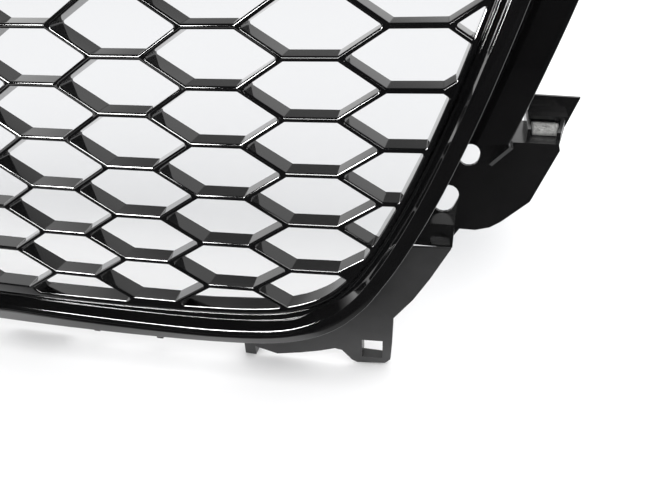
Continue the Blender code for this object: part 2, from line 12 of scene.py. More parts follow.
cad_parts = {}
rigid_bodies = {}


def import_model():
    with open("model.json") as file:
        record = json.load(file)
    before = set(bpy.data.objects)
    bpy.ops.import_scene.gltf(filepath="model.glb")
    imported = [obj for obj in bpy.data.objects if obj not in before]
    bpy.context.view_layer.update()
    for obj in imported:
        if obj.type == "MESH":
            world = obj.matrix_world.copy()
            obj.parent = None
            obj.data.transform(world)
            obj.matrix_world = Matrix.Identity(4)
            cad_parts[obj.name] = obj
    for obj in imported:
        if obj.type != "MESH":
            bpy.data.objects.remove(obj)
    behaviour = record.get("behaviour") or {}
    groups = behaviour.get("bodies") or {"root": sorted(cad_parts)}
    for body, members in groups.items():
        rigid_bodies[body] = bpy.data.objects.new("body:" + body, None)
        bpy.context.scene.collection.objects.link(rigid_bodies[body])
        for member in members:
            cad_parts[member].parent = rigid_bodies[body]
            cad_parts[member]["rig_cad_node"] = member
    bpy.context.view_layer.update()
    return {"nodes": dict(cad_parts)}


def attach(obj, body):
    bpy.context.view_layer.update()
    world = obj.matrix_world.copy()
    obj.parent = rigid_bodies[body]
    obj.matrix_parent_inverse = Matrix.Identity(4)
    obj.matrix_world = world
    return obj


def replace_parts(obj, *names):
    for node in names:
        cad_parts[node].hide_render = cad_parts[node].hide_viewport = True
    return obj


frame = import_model()
NODES = frame["nodes"]

MM = 0.001

# Where the frame's origin lies in the grille's own layout, in mm (all lengths below are mm too)
ORIGIN = Vector((0.0, 118.0, 294.7))

# Lattice of the honeycomb
ROW_PITCH = 32.0
FLAT_LENGTH = 30.7
SLANT_RUN = 25.6
COLUMN_PITCH = FLAT_LENGTH + SLANT_RUN
RIB_FRONT = 3.0
RIB_DRAFT = 1.0
FULL_DRAFT_AREA = 500.0
RIB_DEPTH = 12.0
SMALLEST_CELL = 60.0
CELL_CORNER = 1.1

# Crest of a rib or rail from its edge to its middle: (across, depth)
CREST = [(0.0, 1.43), (0.05, 0.64), (0.11, 0.5), (0.46, 0.265), (0.82, 0.085), (1.05, 0.03), (1.44, 0.0)]

# Outer side of the rail, from its edge inwards: (across, depth)
RAIL_CREST = [(0.0, 2.6), (0.06, 2.1), (0.22, 1.6), (0.48, 1.15), (0.82, 0.76), (1.22, 0.44), (1.66, 0.2),
              (2.1, 0.05), (2.45, 0.0)]

# Edge of the insert: rail in front, clamping lip behind
RAIL_EDGE = 4.0
LIP_EDGE = 8.5
LIP_FRONT = 9.2

# Opening of the grille, right half from bottom middle to top middle (x, z)
OPENING = [(0, -98.9), (50, -98.7), (100, -98.3), (150, -97.4), (185, -95.6), (208, -91.6), (228, -83.5),
           (243, -71), (254.5, -55), (264, -38.8), (274, -19), (283, 1), (291.5, 22.4), (299.3, 43.5),
           (306.8, 66), (315, 92), (322.5, 119), (328.5, 146), (332.5, 171), (333.5, 192), (330, 210),
           (320.5, 225), (305, 236), (284, 243.5), (255, 248.5), (210, 252.5), (140, 256), (70, 257.6),
           (0, 258)]

# Face of the grille: bow across, lean and growth of the lean up it
BOW = 3.5e-4
LEAN = 0.1116
LEAN_GROWTH = 9.6e-4

# Frame: wider section along the bottom, where the crown is broad and draws in towards the middle
BOTTOM_WIDENING = 0.45
BROAD_FROM = 0.92
BROAD_TO = 0.965
CROWN_DRAW = 2.4
CROWN_DRAW_REACH = 150.0
CROWN_SPAN = (7.0, 16.0)

# Channel beside the frame: flare above a height, ends, and the level that its foot is cut at
CHANNEL_FLARE = 0.0005
FLARE_FROM = 40.0
CHANNEL_ENDS = (-25, 197)
CHANNEL_FOOT = 9.5

# Screws, their bosses and their threads
SCREW_OFFSET = 11.7
THREAD_PITCH = 1.15
THREAD_ROOT = 1.1
THREAD_RIDGE = 1.15
THREAD_RISE = 0.45
THREAD_STEPS = 14

# Felt pad on the shelf
SHELF_TOP = 7.0
PAD_LEFT = 349.4
PAD_RIGHT = 363.6
PAD_SPLAY = 2.7
PAD_DEPTHS = (73.0, 89.5)
PAD_HEIGHTS = (0.3, 3.5)
PAD_CELLS = (46, 66)
PAD_FIBRES = 900

# Stage, in metres
FLOOR_LEVEL = -0.4457
AIM = (0.0, -0.1, -0.3)
TOP_AIM = (0.0, -0.1, -0.4)
DARK_SPOT = (-0.29, 0.83, 0.475)
ROOM_DARK = 0.012
ROOM_GLOW = 1.05
LEFT_GLOW = 2.4
PALE_FLOOR = (0.93, 0.93, 0.935, 1)
# painted shade: grey of the floor behind the grille, seen through the cells and in reflections
SHADED_GREY_FLOOR = (0.49, 0.495, 0.505, 1)
# painted reflection: the dark room that mirror rays see on the floor in front
MIRRORED_DARK_ROOM = (0.02, 0.02, 0.02, 1)
FLOOR_SIZE = 12.0
CAMERA_PLACE = (0.311168, -0.409814, -0.150668)
CAMERA_ANGLES = (14.46, -32.11, 2.338)
SENSOR_WIDTH = 36.0
LENS = 32.378082

# Level of the seats under the screw heads, and the place of each screw (name, x, z)
PAD_TOPS = {"bottom": 16.6, "corner": 19.3, "side": 19.3, "top": 20.4}
SCREW_LEVELS = [("bottom_1", -75, -98), ("bottom_2", 75, -98), ("top_c", 0, 258),
                ("corner_l1", -200, -94), ("corner_r1", 200, -94), ("corner_l2", -246, -67),
                ("corner_r2", 246, -67), ("side_l1", -277, -12), ("side_r1", 277, -12),
                ("side_l2", -307, 66), ("side_r2", 307, 66), ("side_l3", -329, 150),
                ("side_r3", 329, 150), ("top_l", -200, 253), ("top_r", 200, 253)]


def face_depth(x, z):
    """Distance of the grille face behind the reference plane at (x, z), in mm."""
    return 0.5 * BOW * x * x + LEAN * z + 0.5 * LEAN_GROWTH * z * z


def on_face(x, depth, z):
    """Point at a depth behind the face, in mm."""
    return Vector((x, depth + face_depth(x, z), z))


# ---------------------------------------------------------------- outline

def smooth_points(points, count):
    """Sample a smooth curve through open control points."""
    padded = [(-points[1][0], points[1][1])] + list(points) + [(-points[-2][0], points[-2][1])]
    out = []
    for i in range(1, len(padded) - 2):
        p0, p1, p2, p3 = [Vector(p) for p in padded[i - 1:i + 3]]
        for k in range(count):
            t = k / count
            a = 2 * p1 + (p2 - p0) * t
            b = (2 * p0 - 5 * p1 + 4 * p2 - p3) * t * t
            c = (3 * p1 - p0 - 3 * p2 + p3) * t * t * t
            out.append((a + b + c) * 0.5)
    out.append(Vector(points[-1]))
    return out


def thin_points(points, turn, reach):
    """Keep points where the curve has turned or run far enough since the last kept one."""
    kept = [points[0]]
    turned = 0.0
    run = 0.0
    for i in range(1, len(points) - 1):
        before = points[i] - points[i - 1]
        after = points[i + 1] - points[i]
        turned += abs(before.angle_signed(after))
        run += before.length
        if turned > turn or run > reach:
            kept.append(points[i])
            turned = 0.0
            run = 0.0
    kept.append(points[-1])
    return kept


def smooth_normals(points):
    """Outward normals of a closed counter-clockwise loop, evened along it."""
    count = len(points)
    raw = []
    for i in range(count):
        run = points[(i + 1) % count] - points[i - 1]
        raw.append(Vector((run.y, -run.x)).normalized())
    for _ in range(6):
        raw = [(raw[i - 1] + raw[i] * 2 + raw[(i + 1) % count]).normalized() for i in range(count)]
    return raw


HALF = thin_points(smooth_points(OPENING, 24), math.radians(2.2), 11.0)
LOOP = HALF + [Vector((-p.x, p.y)) for p in reversed(HALF[1:-1])]
NORMALS = smooth_normals(LOOP)


def widening(normal):
    """Width factor of the frame sections for an outward normal."""
    return 1.0 + BOTTOM_WIDENING * max(0.0, -normal.y) ** 3


def offset_loop(distance):
    """Opening outline moved outwards by a section distance."""
    return [p + n * distance * widening(n) for p, n in zip(LOOP, NORMALS)]


def beside(x, z, distance):
    """Point at a section distance from the outline, level with (x, z)."""
    spot = Vector((x, z))
    best = None
    moved = offset_loop(distance)
    for i in range(len(LOOP)):
        run = LOOP[i] - LOOP[i - 1]
        t = min(1.0, max(0.0, (spot - LOOP[i - 1]).dot(run) / run.length_squared))
        gap = (LOOP[i - 1] + run * t - spot).length
        if best is None or gap < best[0]:
            best = (gap, moved[i - 1].lerp(moved[i], t))
    return best[1]


# ---------------------------------------------------------------- mesh tools

def fillet(points, radii, steps):
    """Round the corners of a closed polyline; radii is one radius or one for each point."""
    count = len(points)
    if not hasattr(radii, "__len__"):
        radii = [radii] * count
    out = []
    for i in range(count):
        p = Vector(points[i])
        a = Vector(points[i - 1]) - p
        b = Vector(points[(i + 1) % count]) - p
        turn = math.pi - a.angle(b)
        if turn < math.radians(11) or radii[i] <= 0:
            out.append(p)
            continue
        reach = radii[i] * math.tan(turn / 2)
        limit = 0.45 * min(a.length, b.length)
        if reach > limit:
            reach = limit
        radius = reach / math.tan(turn / 2)
        a.normalize()
        b.normalize()
        centre = p + (a + b).normalized() * (radius / math.cos(turn / 2))
        start = p + a * reach - centre
        side = 1.0 if a.x * b.y - a.y * b.x < 0 else -1.0
        for k in range(steps + 1):
            angle = side * turn * k / steps
            c = math.cos(angle)
            s = math.sin(angle)
            out.append(centre + Vector((start.x * c - start.y * s, start.x * s + start.y * c)))
    return out


def grown(ring, distance):
    """Counter-clockwise ring moved outwards, with mitred corners."""
    count = len(ring)
    out = []
    for i in range(count):
        a = (ring[i] - ring[i - 1]).normalized()
        b = (ring[(i + 1) % count] - ring[i]).normalized()
        na = Vector((a.y, -a.x))
        nb = Vector((b.y, -b.x))
        mid = (na + nb).normalized()
        out.append(ring[i] + mid * (distance / max(0.6, mid.dot(na))))
    return out


def clip_polygon(polygon, window):
    """Part of a convex polygon inside a counter-clockwise convex window."""
    out = list(polygon)
    for i in range(len(window)):
        a = window[i - 1]
        b = window[i]
        edge = b - a
        kept = []
        for k in range(len(out)):
            p = out[k - 1]
            q = out[k]
            dp = edge.x * (p.y - a.y) - edge.y * (p.x - a.x)
            dq = edge.x * (q.y - a.y) - edge.y * (q.x - a.x)
            if dp * dq < 0:
                kept.append(p + (q - p) * (dp / (dp - dq)))
            if dq >= 0:
                kept.append(q)
        out = kept
        if len(out) < 3:
            return []
    return out


def area(polygon):
    """Area of a polygon."""
    total = 0.0
    for i in range(len(polygon)):
        total += polygon[i - 1].x * polygon[i].y - polygon[i].x * polygon[i - 1].y
    return abs(total) / 2


def drop_close(polygon, gap):
    """Drop points that nearly coincide with the one before."""
    out = []
    for i in range(len(polygon)):
        if (polygon[i] - polygon[i - 1]).length > gap:
            out.append(polygon[i])
    return out


def inside(ring, spot):
    """True when a spot lies inside a ring."""
    hit = False
    for k in range(len(ring)):
        a = ring[k - 1]
        b = ring[k]
        if (a.y > spot.y) != (b.y > spot.y):
            if spot.x < (b.x - a.x) * (spot.y - a.y) / (b.y - a.y) + a.x:
                hit = not hit
    return hit


def fill_rings(bm, rings, place):
    """Fill inside the first ring and outside the others; place(x, z) gives each 3-D point."""
    points = [Vector(p) for ring in rings for p in ring]
    edges = []
    start = 0
    for ring in rings:
        count = len(ring)
        edges += [(start + k, start + (k + 1) % count) for k in range(count)]
        start += count
    flat, _, faces, sources, _, _ = delaunay_2d_cdt(points, edges, [], 2, 1e-5)
    made = {}
    for co, source in zip(flat, sources):
        made[source[0]] = bm.verts.new(place(co.x, co.y))
    order = [made[source[0]] for source in sources]
    boxes = [(min(p.x for p in r), max(p.x for p in r), min(p.y for p in r), max(p.y for p in r))
             for r in rings[1:]]
    for face in faces:
        middle = sum((flat[k] for k in face), Vector((0, 0))) / len(face)
        near = [r for r, b in zip(rings[1:], boxes)
                if b[0] < middle.x < b[1] and b[2] < middle.y < b[3]]
        if not any(inside(ring, middle) for ring in near):
            bm.faces.new([order[k] for k in face])
    out = []
    start = 0
    for ring in rings:
        out.append([made[start + k] for k in range(len(ring))])
        start += len(ring)
    return out


def wall(bm, ring_a, ring_b):
    """Join two rings of equal count."""
    count = len(ring_a)
    for k in range(count):
        m = (k + 1) % count
        bm.faces.new((ring_a[k], ring_a[m], ring_b[m], ring_b[k]))


def new_piece(name, bm, sharp=38.0, weighted=True):
    """Turn a bmesh in layout millimetres into a placed, smooth shaded object in metres."""
    bmesh.ops.remove_doubles(bm, verts=bm.verts, dist=0.0005)
    bmesh.ops.recalc_face_normals(bm, faces=bm.faces)
    for v in bm.verts:
        v.co = (v.co - ORIGIN) * MM
    mesh = bpy.data.meshes.new(name)
    bm.to_mesh(mesh)
    bm.free()
    mesh.shade_smooth()
    mesh.set_sharp_from_angle(angle=math.radians(sharp))
    ob = bpy.data.objects.new(name, mesh)
    bpy.context.scene.collection.objects.link(ob)
    if weighted:
        mod = ob.modifiers.new("even_normals", "WEIGHTED_NORMAL")
        mod.keep_sharp = True
        mod.weight = 60
    return ob


def mirrored(source, name):
    """Left-hand copy of a right-hand piece."""
    mesh = source.data.copy()
    mesh.name = name
    mesh.transform(Matrix.Scale(-1, 4, (1, 0, 0)))
    mesh.flip_normals()
    ob = source.copy()
    ob.name = name
    ob.data = mesh
    bpy.context.scene.collection.objects.link(ob)
    return ob


# ---------------------------------------------------------------- materials

def shader_nodes(name):
    """New material with its tree and Principled node."""
    mat = bpy.data.materials.new(name)
    mat.use_nodes = True
    tree = mat.node_tree
    return mat, tree, tree.nodes["Principled BSDF"]


def noise_node(tree, scale, detail=3.0, rough=0.5, stretch=None):
    """Noise in object space, optionally stretched."""
    coords = tree.nodes.new("ShaderNodeTexCoord")
    tex = tree.nodes.new("ShaderNodeTexNoise")
    tex.inputs["Scale"].default_value = scale
    tex.inputs["Detail"].default_value = detail
    tex.inputs["Roughness"].default_value = rough
    if stretch:
        mapping = tree.nodes.new("ShaderNodeMapping")
        mapping.inputs["Scale"].default_value = stretch
        tree.links.new(coords.outputs["Object"], mapping.inputs["Vector"])
        tree.links.new(mapping.outputs["Vector"], tex.inputs["Vector"])
    else:
        tree.links.new(coords.outputs["Object"], tex.inputs["Vector"])
    return tex


def ramp_node(tree, source, stops):
    """Colour ramp fed by a factor."""
    ramp = tree.nodes.new("ShaderNodeValToRGB")
    elements = ramp.color_ramp.elements
    while len(elements) < len(stops):
        elements.new(0.5)
    for element, (place, value) in zip(elements, stops):
        element.position = place
        colour = value if hasattr(value, "__len__") else (value, value, value)
        element.color = (*colour, 1.0)
    tree.links.new(source, ramp.inputs["Fac"])
    return ramp


def bump_node(tree, height, strength, distance, below=None):
    """Bump from a height, on top of another bump."""
    bump = tree.nodes.new("ShaderNodeBump")
    bump.inputs["Strength"].default_value = strength
    bump.inputs["Distance"].default_value = distance
    tree.links.new(height, bump.inputs["Height"])
    if below:
        tree.links.new(below.outputs["Normal"], bump.inputs["Normal"])
    return bump


def gloss_black():
    """Gloss black lacquer over moulded plastic: deep colour, faint orange peel, a little dust."""
    mat, tree, shader = shader_nodes("gloss_black_lacquer")
    tone = noise_node(tree, 22.0, 2.0)
    tree.links.new(ramp_node(tree, tone.outputs["Fac"], [(0.3, (0.0028, 0.0028, 0.0030)),
                                                         (0.7, (0.0045, 0.0045, 0.0047))]).outputs["Color"],
                   shader.inputs["Base Color"])
    haze = noise_node(tree, 90.0, 5.0, 0.6)
    tree.links.new(ramp_node(tree, haze.outputs["Fac"], [(0.35, 0.045), (0.72, 0.095)]).outputs["Color"],
                   shader.inputs["Roughness"])
    peel = noise_node(tree, 260.0, 1.0, 0.4)
    wave = noise_node(tree, 38.0, 1.0, 0.4)
    low = bump_node(tree, wave.outputs["Fac"], 0.35, 0.00012)
    top = bump_node(tree, peel.outputs["Fac"], 0.25, 0.00001, low)
    tree.links.new(top.outputs["Normal"], shader.inputs["Normal"])
    shader.inputs["IOR"].default_value = 1.54
    shader.inputs["Specular IOR Level"].default_value = 0.5
    shader.inputs["Coat Weight"].default_value = 0.25
    shader.inputs["Coat Roughness"].default_value = 0.03
    shader.inputs["Coat IOR"].default_value = 1.5
    return mat


def satin_black(name, base, rough_low, rough_high, grain):
    """Bare black plastic with a fine moulded grain."""
    mat, tree, shader = shader_nodes(name)
    tone = noise_node(tree, 34.0, 4.0, 0.6)
    tree.links.new(ramp_node(tree, tone.outputs["Fac"], [(0.3, [c * 0.8 for c in base]),
                                                         (0.7, [c * 1.2 for c in base])]).outputs["Color"],
                   shader.inputs["Base Color"])
    haze = noise_node(tree, 160.0, 6.0, 0.65)
    rough = ramp_node(tree, haze.outputs["Fac"], [(0.3, rough_low), (0.7, rough_high)])
    tree.links.new(rough.outputs["Color"], shader.inputs["Roughness"])
    fine = noise_node(tree, 2600.0, 2.0, 0.6)
    flow = noise_node(tree, 70.0, 3.0, 0.5, (1.0, 1.0, 3.5))
    low = bump_node(tree, flow.outputs["Fac"], 0.25, 0.0001)
    top = bump_node(tree, fine.outputs["Fac"], grain, 0.00003, low)
    tree.links.new(top.outputs["Normal"], shader.inputs["Normal"])
    shader.inputs["IOR"].default_value = 1.5
    return mat


def grey_felt():
    """Grey felt: mottled wool with soft sheen."""
    mat, tree, shader = shader_nodes("grey_felt_wool")
    fibre = noise_node(tree, 1500.0, 6.0, 0.75, (1.0, 2.2, 1.0))
    patch = noise_node(tree, 180.0, 3.0, 0.6)
    mix = tree.nodes.new("ShaderNodeMath")
    mix.operation = "MULTIPLY"
    tree.links.new(fibre.outputs["Fac"], mix.inputs[0])
    tree.links.new(patch.outputs["Fac"], mix.inputs[1])
    tree.links.new(ramp_node(tree, mix.outputs["Value"], [(0.12, (0.17, 0.17, 0.165)),
                                                          (0.4, (0.62, 0.62, 0.60))]).outputs["Color"],
                   shader.inputs["Base Color"])
    shader.inputs["Roughness"].default_value = 0.95
    shader.inputs["Sheen Weight"].default_value = 0.4
    shader.inputs["Sheen Roughness"].default_value = 0.6
    bump = bump_node(tree, fibre.outputs["Fac"], 0.7, 0.0003)
    tree.links.new(bump.outputs["Normal"], shader.inputs["Normal"])
    return mat


def zinc_steel():
    """Bright zinc-plated steel with fine turning marks and a few dull spots."""
    mat, tree, shader = shader_nodes("zinc_plated_steel")
    tone = noise_node(tree, 320.0, 5.0, 0.7)
    tree.links.new(ramp_node(tree, tone.outputs["Fac"], [(0.3, (0.42, 0.42, 0.40)),
                                                         (0.7, (0.66, 0.66, 0.63))]).outputs["Color"],
                   shader.inputs["Base Color"])
    marks = noise_node(tree, 900.0, 3.0, 0.6, (1.0, 6.0, 1.0))
    tree.links.new(ramp_node(tree, marks.outputs["Fac"], [(0.3, 0.24), (0.7, 0.42)]).outputs["Color"],
                   shader.inputs["Roughness"])
    bump = bump_node(tree, marks.outputs["Fac"], 0.3, 0.00004)
    tree.links.new(bump.outputs["Normal"], shader.inputs["Normal"])
    shader.inputs["Metallic"].default_value = 1.0
    return mat


GLOSS = gloss_black()
SATIN = satin_black("satin_black_plastic", (0.029, 0.029, 0.0295), 0.30, 0.40, 0.35)
SEMI = satin_black("semi_gloss_black_plastic", (0.0065, 0.0065, 0.0067), 0.16, 0.24, 0.12)
FELT = grey_felt()
ZINC = zinc_steel()


def dress(ob, material):
    """Give a piece its material and, unless it is a CAD node already, put it in the root body."""
    ob.data.materials.clear()
    ob.data.materials.append(material)
    if "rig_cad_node" not in ob:
        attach(ob, "root")
    return ob


# ---------------------------------------------------------------- honeycomb

def cell_outline(cx, cz, inset):
    """Hexagon of one cell, drawn in by an inset from the lattice lines."""
    half_flat = FLAT_LENGTH / 2
    slant = math.hypot(SLANT_RUN, ROW_PITCH / 2)
    tip = half_flat + SLANT_RUN - inset * slant / (ROW_PITCH / 2)
    top = ROW_PITCH / 2 - inset
    flat = tip - top * SLANT_RUN / (ROW_PITCH / 2)
    pts = [(tip, 0), (flat, top), (-flat, top), (-tip, 0), (-flat, -top), (flat, -top)]
    return [Vector((cx + x, cz + z)) for x, z in pts]


def cell_rings():
    """Front outlines of all open cells."""
    out = []
    window = offset_loop(0.0)
    for column in range(-7, 8):
        for row in range(-6, 11):
            cx = column * COLUMN_PITCH
            cz = row * ROW_PITCH + (ROW_PITCH / 2 if column % 2 == 0 else 0)
            ring = drop_close(clip_polygon(cell_outline(cx, cz, RIB_FRONT / 2), window), 0.25)
            if len(ring) >= 3 and area(ring) > SMALLEST_CELL:
                out.append(drop_close(fillet(ring, CELL_CORNER, 3), 0.12))
    return out


def honeycomb():
    """Insert: drafted ribs with crowned crests, a rail with the same crest and the clamping lip."""
    bm = bmesh.new()
    cells = cell_rings()
    web = [offset_loop(RAIL_EDGE - RAIL_CREST[-1][0])] + [grown(ring, CREST[-1][0]) for ring in cells]
    tops = fill_rings(bm, web, lambda x, z: on_face(x, 0.0, z))
    backs = []
    for ring, last in zip(cells, tops[1:]):
        for across, depth in reversed(CREST[:-1]):
            row = [bm.verts.new(on_face(p.x, depth, p.y)) for p in grown(ring, across)]
            wall(bm, last, row)
            last = row
        centre = sum(ring, Vector((0, 0))) / len(ring)
        draft = RIB_DRAFT * min(1.0, area(ring) / FULL_DRAFT_AREA)
        for share, depth in ((0.12, 2.4), (0.95, RIB_DEPTH - 0.5), (0.93, RIB_DEPTH - 0.12)):
            row = [bm.verts.new(on_face(q.x, depth, q.y))
                   for q in [p + (centre - p).normalized() * draft * share for p in ring]]
            wall(bm, last, row)
            last = row
        backs.append(([p + (centre - p).normalized() * draft * 0.7 for p in ring], last))
    back = fill_rings(bm, [offset_loop(LIP_EDGE)] + [ring for ring, _ in backs],
                      lambda x, z: on_face(x, RIB_DEPTH, z))
    for (ring, last), made in zip(backs, back[1:]):
        wall(bm, last, made)
    last = tops[0]
    for across, depth in reversed(RAIL_CREST[:-1]):
        row = [bm.verts.new(on_face(p.x, depth, p.y)) for p in offset_loop(RAIL_EDGE - across)]
        wall(bm, last, row)
        last = row
    for distance, depth in ((RAIL_EDGE, LIP_FRONT), (LIP_EDGE, LIP_FRONT)):
        row = [bm.verts.new(on_face(p.x, depth, p.y)) for p in offset_loop(distance)]
        wall(bm, last, row)
        last = row
    wall(bm, last, back[0])
    return new_piece("honeycomb_mesh", bm)


# ---------------------------------------------------------------- lofted pieces

def loft(bm, run, section, closed, other=None):
    """Skin a section (distance, depth) along (point, normal, factor) stations.

    With other, the section of the sides, the crown also draws in towards the middle of the bottom.
    """
    rows = []
    for point, normal, factor in run:
        row = []
        low = min(1.0, max(0.0, (-normal.y - BROAD_FROM) / (BROAD_TO - BROAD_FROM)))
        drawn = CROWN_DRAW * low * max(0.0, 1.0 - abs(point.x) / CROWN_DRAW_REACH)
        for k, (s, d) in enumerate(section):
            if other:
                s, d = other[k].lerp(Vector((s, d)), low)
                if CROWN_SPAN[0] < s < CROWN_SPAN[1]:
                    s -= drawn
            p = point + normal * s * factor
            row.append(bm.verts.new(on_face(p.x, d, p.y)))
        rows.append(row)
    count = len(section)
    last = len(rows) if closed else len(rows) - 1
    for i in range(last):
        a = rows[i]
        b = rows[(i + 1) % len(rows)]
        for k in range(count):
            m = (k + 1) % count
            bm.faces.new((a[k], a[m], b[m], b[k]))
    if not closed:
        bm.faces.new(rows[0])
        bm.faces.new(rows[-1])


def stations(low=None, high=None):
    """Stations of the whole outline, or of its right side between two heights."""
    chosen = range(len(LOOP))
    if low is not None:
        chosen = [i for i, p in enumerate(LOOP) if p.x > 200 and low <= p.y <= high]
    return [(LOOP[i], NORMALS[i], widening(NORMALS[i])) for i in chosen]


def lathe(bm, profile, centre, steps):
    """Turn a profile of (radius, height along +Y) round a Y axis."""
    rows = []
    for k in range(steps):
        a = math.tau * k / steps
        rows.append([bm.verts.new((centre[0] + r * math.cos(a), centre[1] + h, centre[2] + r * math.sin(a)))
                     for r, h in profile])
    for k in range(steps):
        a = rows[k]
        b = rows[(k + 1) % steps]
        for m in range(len(profile) - 1):
            if profile[m][0] < 1e-6 and profile[m + 1][0] < 1e-6:
                continue
            bm.faces.new((a[m], a[m + 1], b[m + 1], b[m]))


def screw_spots():
    """Fixing positions round the frame."""
    out = []
    for name, x, z in SCREW_LEVELS:
        p = beside(x, z, SCREW_OFFSET)
        out.append((name, p.x, p.y))
    return out


SPOTS = screw_spots()


def arcs(start, lean, bends):
    """Points of a run of arcs; lean is the tilt of the outward normal in degrees.

    Each bend is (radius, tilt at its end, steps).
    """
    out = [Vector(start)]
    for radius, end, steps in bends:
        step = (end - lean) / steps
        for _ in range(steps):
            middle = math.radians(lean + step / 2)
            chord = 2 * radius * math.sin(math.radians(abs(step)) / 2)
            out.append(out[-1] + Vector((math.cos(middle), -math.sin(middle))) * chord)
            lean += step
    return out


def trim():
    """Gloss frame with a ledge, inner flank, crown, outer slope and leg, and its blind screw bosses."""
    foot = [(4.3, 8.9), (4.3, 2.2)]
    rest = [(19.0, -2.6), (19.0, 15.0), (16.5, 15.0), (16.5, 0.9), (10.4, -2.3), (6.9, 3.2), (6.9, 8.9)]
    radii = [0.3, 0.4, 0.3] + [0.0] * 19 + [1.0, 0.4, 0.4, 0.8, 1.0, 0.6, 0.3]
    broad = [(7.4, 2.2)] + arcs((10.2, -4.5), 66.0, [(1.2, 48.0, 4), (10.5, 38.0, 5), (2.2, -20.0, 9)])
    tight = [(5.8, 2.2)] + arcs((9.9, -4.1), 57.0, [(0.35, 30.0, 4), (0.35, 3.0, 5), (20.0, -14.0, 9)])
    sides = [fillet(foot + crown + rest, radii, 5) for crown in (broad, tight)]
    bm = bmesh.new()
    loft(bm, stations(), sides[0], True, sides[1])
    for _, x, z in SPOTS:
        base = face_depth(x, z)
        boss = [(2.9, -1.9), (2.9, 10.6), (2.6, 10.9), (1.95, 10.9), (1.75, 10.6), (1.75, 2.5), (0.0, 2.5)]
        lathe(bm, boss, (x, base, z), 20)
    return new_piece("outer_trim_gloss", bm)


def pads(bm, names):
    """Round pads under the screw heads."""
    for name, x, z in SPOTS:
        if name in names:
            top = PAD_TOPS[name.split("_")[0]]
            profile = [(4.5, top - 2.9), (4.5, top - 0.3), (4.2, top), (1.9, top), (1.9, top - 3.5),
                       (4.2, top - 3.5), (4.5, top - 2.9)]
            lathe(bm, profile, (x, face_depth(x, z), z), 24)


def channel():
    """Two-band channel outside the frame on the right side."""
    section = [(8.0, 15.3), (19.6, 15.3), (20.4, 26.0), (23.5, 30.0), (27.2, 27.4), (43.0, 29.0),
               (45.0, 30.2), (45.0, 37.5), (42.6, 37.5), (42.6, 31.8), (27.6, 30.0), (23.6, 32.8),
               (18.2, 27.6), (17.4, 17.8), (8.0, 17.8)]
    radii = [0.3, 0.3, 0.8, 0.8, 0.5, 3.0, 0.9, 0.4, 0.4, 0.8, 1.0, 1.2, 1.5, 0.4, 0.3]
    bm = bmesh.new()
    run = []
    for point, normal, factor in stations(*CHANNEL_ENDS):
        run.append((point, normal, factor + CHANNEL_FLARE * max(0.0, point.y - FLARE_FROM)))
    loft(bm, run, fillet(section, radii, 5), False)
    cut = bmesh.ops.bisect_plane(bm, geom=bm.verts[:] + bm.edges[:] + bm.faces[:], dist=0.0001,
                                 plane_co=(0, 0, CHANNEL_FOOT), plane_no=(0, 0, 1), clear_inner=True)
    rim = [e for e in cut["geom_cut"] if isinstance(e, bmesh.types.BMEdge)]
    bmesh.ops.edgenet_fill(bm, edges=rim)
    pads(bm, ("side_r2", "side_r3"))
    return new_piece("side_channel_gloss_r", bm)


def screw(name, x, z):
    """Pan head screw with a flange, a round recess and a rolled thread."""
    base = face_depth(x, z)
    seat = base + PAD_TOPS[name.split("_")[0]] + 0.3
    tip = base + 3.4 - seat
    bm = bmesh.new()
    head = [(1.45, 1.15), (1.45, 2.15), (1.6, 2.35), (2.1, 2.4), (2.7, 2.25), (3.05, 1.85), (3.15, 1.2),
            (3.3, 0.75), (3.6, 0.6), (3.6, 0.15), (3.45, 0.0), (1.5, 0.0), (1.3, -0.4), (1.15, tip + 1.0),
            (0.0, tip)]
    lathe(bm, head, (x, seat, z), 30)
    lathe(bm, [(0.0, 1.15), (1.45, 1.15)], (x, seat, z), 30)
    turns = int((-tip - 1.6) / THREAD_PITCH)
    steps = THREAD_STEPS
    rows = []
    for k in range(turns * steps + 1):
        a = math.tau * k / steps
        h = seat - 1.0 - THREAD_PITCH * k / steps
        grow = min(1.0, k / steps, (turns * steps - k) / steps)
        c = math.cos(a)
        s = math.sin(a)
        ridge = THREAD_RIDGE + THREAD_RISE * grow
        rows.append([bm.verts.new((x + r * c, y, z + r * s))
                     for r, y in ((THREAD_ROOT, h + 0.35), (ridge, h), (THREAD_ROOT, h - 0.35))])
    for a, b in zip(rows, rows[1:]):
        for m in range(3):
            n = (m + 1) % 3
            bm.faces.new((a[m], a[n], b[n], b[m]))
    if rows:
        bm.faces.new(rows[0])
        bm.faces.new(rows[-1])
    return new_piece("screw_zinc_" + name, bm, 32.0, False)


